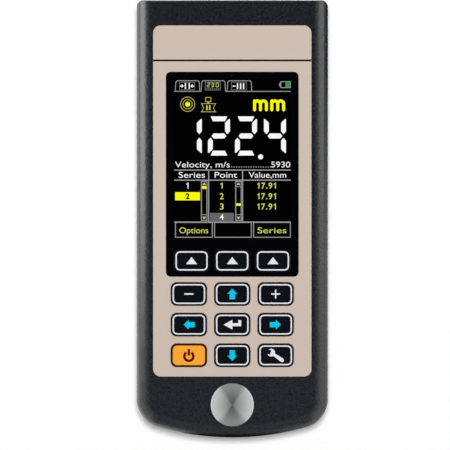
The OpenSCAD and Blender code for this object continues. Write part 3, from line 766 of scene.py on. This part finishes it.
# Cards at the left and right of the disc: their distance, height over the floor, size and power
DISC_CARD_X, DISC_CARD_Z, DISC_CARD_SIZE, DISC_CARD_POWER = 0.3, 0.3, (0.826, 0.6), 0.84

# How bright the walls show in reflections, by the sine of the height over the horizon
SIDE_WALLS = ((0.0, 1.0), (0.15, 0.96), (0.47, 0.79), (0.707, 0.6), (0.875, 0.33), (0.974, 0.09), (1.0, 0.01))
END_WALLS = ((0.0, 0.25), (0.8, 0.25), (0.97, 0.045), (1.0, 0.01))

# How far reflections show the floor dimmed where no cloth lies
FLOOR_DIM = 0.3


def area_light(name, place, aim, size, power, diffuse=True, glossy=True, only=None):
    """A lamp that faces aim; with only, it lights the objects of that collection alone."""
    lamp = bpy.data.lights.new(name, "AREA")
    lamp.shape = "RECTANGLE"
    lamp.size, lamp.size_y = size
    lamp.energy = power
    made = bpy.data.objects.new(name, lamp)
    made.location = place
    made.rotation_mode = "QUATERNION"
    made.rotation_quaternion = (Vector(aim) - Vector(place)).to_track_quat("-Z", "Y")
    made.visible_camera, made.visible_diffuse, made.visible_glossy = False, diffuse, glossy
    if only:
        made.light_linking.receiver_collection = only
    bpy.context.scene.collection.objects.link(made)


def edge_strips(housing):
    """Strips close to the left edge, at the height of its roll, that fade towards the lower end."""
    x = box_mm("front_shell")[0].x * MM - STRIP_GAP
    length = (STRIPS_TOP - STRIPS_FOOT) / STRIPS
    height = STRIP_HIGH - STRIP_LOW
    z = (STRIP_LOW + STRIP_HIGH) / 2
    for i in range(STRIPS):
        y = STRIPS_FOOT + (i + 0.5) * length
        level = STRIP_LEVEL * min((y - STRIPS_FOOT) / STRIP_FADE, 1.0)
        power = level * math.pi * length * height
        area_light("edge_strip_%d" % i, (x, y, z), (0, y, z), (length, height), power,
                   diffuse=False, only=housing)


def make_lights():
    """A lamp overhead, and cards that only reflections show.

    The housing has strips along its left edge, a card at the right of its upper half and one on
    the floor at its left; the disc has one at each side; one hangs over the lower half."""
    housing = bpy.data.collections.new("housing_faces")
    for name in ("front_shell", "rear_shell", "front_bow", "rear_bow"):
        housing.objects.link(nodes[name] if name in nodes else bpy.data.objects[name])
    area_light("key", (0, 0.08, 1.0), (0, 0, 0), (0.13, 0.13), 8.2, glossy=False)
    edge_strips(housing)
    area_light("right_card", (0.285, 0.13, 0.17), (0, 0.13, 0.17), (0.29, 0.27), 0.17,
               diffuse=False, only=housing)
    area_light("floor_card", (-0.22, 0.02, 0.001), (-0.22, 0.02, 1.0), (0.4, 0.34), 0.24,
               diffuse=False, only=housing)
    area_light("ceiling_card", (0, -0.35, 1.0), (0, -0.35, 0), (0.8, 0.6), 0.14, diffuse=False)
    x, y, _ = top_centre("reference_disc")
    aim = (x * MM, y * MM, DISC_CARD_Z)
    disc = bpy.data.collections.new("disc_face")
    disc.objects.link(nodes["reference_disc"])
    for name, side in (("disc_card_left", -DISC_CARD_X), ("disc_card_right", DISC_CARD_X)):
        area_light(name, (side, *aim[1:]), aim, DISC_CARD_SIZE, DISC_CARD_POWER, diffuse=False, only=disc)


def make_world():
    """A studio with bright soft walls at the left and right and a dark ceiling.

    The walls show in reflections; as diffuse light the room is even, and the camera sees it pale."""
    world = bpy.data.worlds.new("studio")
    world.use_nodes = True
    n = Nodes(world.node_tree)
    way = n.add("ShaderNodeTexCoord").outputs["Generated"]
    height = n.add("ShaderNodeSeparateXYZ")
    n.feed(height.inputs["Vector"], way)
    up = height.outputs["Z"]
    level = n.vector("NORMALIZE", n.vector("MULTIPLY", way, (1, 1, 0)))
    sideways = n.vector("DOT_PRODUCT", n.vector("ABSOLUTE", level), (1, 0, 0), out="Value")
    wall = n.ramp(sideways, 0.58, 0.6)
    shown = n.ramp(wall, 0.0, 1.0, n.curve(up, END_WALLS), n.curve(up, SIDE_WALLS))
    path = n.add("ShaderNodeLightPath")
    even = n.ramp(up, 0.0, 1.0, 0.3, 0.05)
    strength = n.ramp(path.outputs["Is Glossy Ray"], 0.0, 1.0, even, shown)
    strength = n.ramp(path.outputs["Is Camera Ray"], 0.0, 1.0, strength, 0.95)
    back = next(node for node in world.node_tree.nodes if node.type == "BACKGROUND")
    n.feed(back.inputs["Strength"], strength)
    back.inputs["Color"].default_value = (1.0, 1.0, 1.0, 1.0)
    bpy.context.scene.world = world


def make_floor():
    """Pale floor that reads as white to the camera, a little dimmer in reflections, and keeps the shadow.

    In front of the lower end and at the right of the upper end lie dark cloths that only
    reflections show."""
    material = bpy.data.materials.new("floor_paper")
    material.use_nodes = True
    n = Nodes(material.node_tree)
    n.tree.nodes.clear()
    out = n.add("ShaderNodeOutputMaterial")
    both = n.add("ShaderNodeAddShader")
    paper = n.add("ShaderNodeBsdfDiffuse")
    glow = n.add("ShaderNodeEmission")
    path = n.add("ShaderNodeLightPath").outputs
    through = n.math("MAXIMUM", path["Is Glossy Ray"], path["Is Transmission Ray"])
    seen = n.math("MAXIMUM", path["Is Camera Ray"], through)
    n.feed(glow.inputs["Strength"], n.math("MULTIPLY", seen, 0.3))
    paper.inputs["Color"].default_value = (0.77, 0.77, 0.77, 1.0)
    n.feed(both.inputs[0], paper.outputs[0])
    n.feed(both.inputs[1], glow.outputs[0])
    place = n.add("ShaderNodeSeparateXYZ")
    n.feed(place.inputs["Vector"], n.add("ShaderNodeTexCoord").outputs["Object"])
    before_end = n.ramp(place.outputs["Y"], -0.082, -0.076, 1.0, 0.0)
    middle = n.ramp(n.math("ABSOLUTE", place.outputs["X"]), 0.015, 0.06, 1.0, 0.0)
    beside = n.math("MULTIPLY", n.ramp(place.outputs["X"], 0.03, 0.036),
                    n.ramp(place.outputs["X"], 0.07, 0.3, 1.0, 0.0))
    upper = n.ramp(place.outputs["Y"], -0.05, 0.06, 0.0, 0.95)
    dark = n.math("MAXIMUM", n.math("MULTIPLY", before_end, middle), n.math("MULTIPLY", beside, upper))
    cloth = n.add("ShaderNodeEmission")
    cloth.inputs["Strength"].default_value = 0.0
    shown = n.add("ShaderNodeMixShader")
    dimmed = n.math("MAXIMUM", dark, FLOOR_DIM)
    n.feed(shown.inputs[0], n.math("MULTIPLY", path["Is Glossy Ray"], dimmed))
    n.feed(shown.inputs[1], both.outputs[0])
    n.feed(shown.inputs[2], cloth.outputs[0])
    n.feed(out.inputs["Surface"], shown.outputs[0])
    bpy.ops.mesh.primitive_plane_add(size=6, location=(0, 0, -0.0001))
    floor = bpy.context.object
    floor.name = "floor"
    floor.data.materials.append(material)


def make_camera():
    """Straight down, from about a metre, with the photograph's frame at the height of the face."""
    distance, face_z = 1.0, 22 * MM
    frame_width = 166.2 * MM
    centre = (-2.68 * MM, -2.11 * MM)
    data = bpy.data.cameras.new("camera")
    data.sensor_width = 36
    data.lens = data.sensor_width * distance / frame_width
    camera = bpy.data.objects.new("camera", data)
    camera.location = (*centre, face_z + distance)
    bpy.context.scene.collection.objects.link(camera)
    bpy.context.scene.camera = camera


dress_nodes()
make_bow()
print_keys()
print_header_rule()
draw_picture()
make_lights()
make_world()
make_floor()
make_camera()
bpy.context.scene.view_settings.view_transform = "Standard"
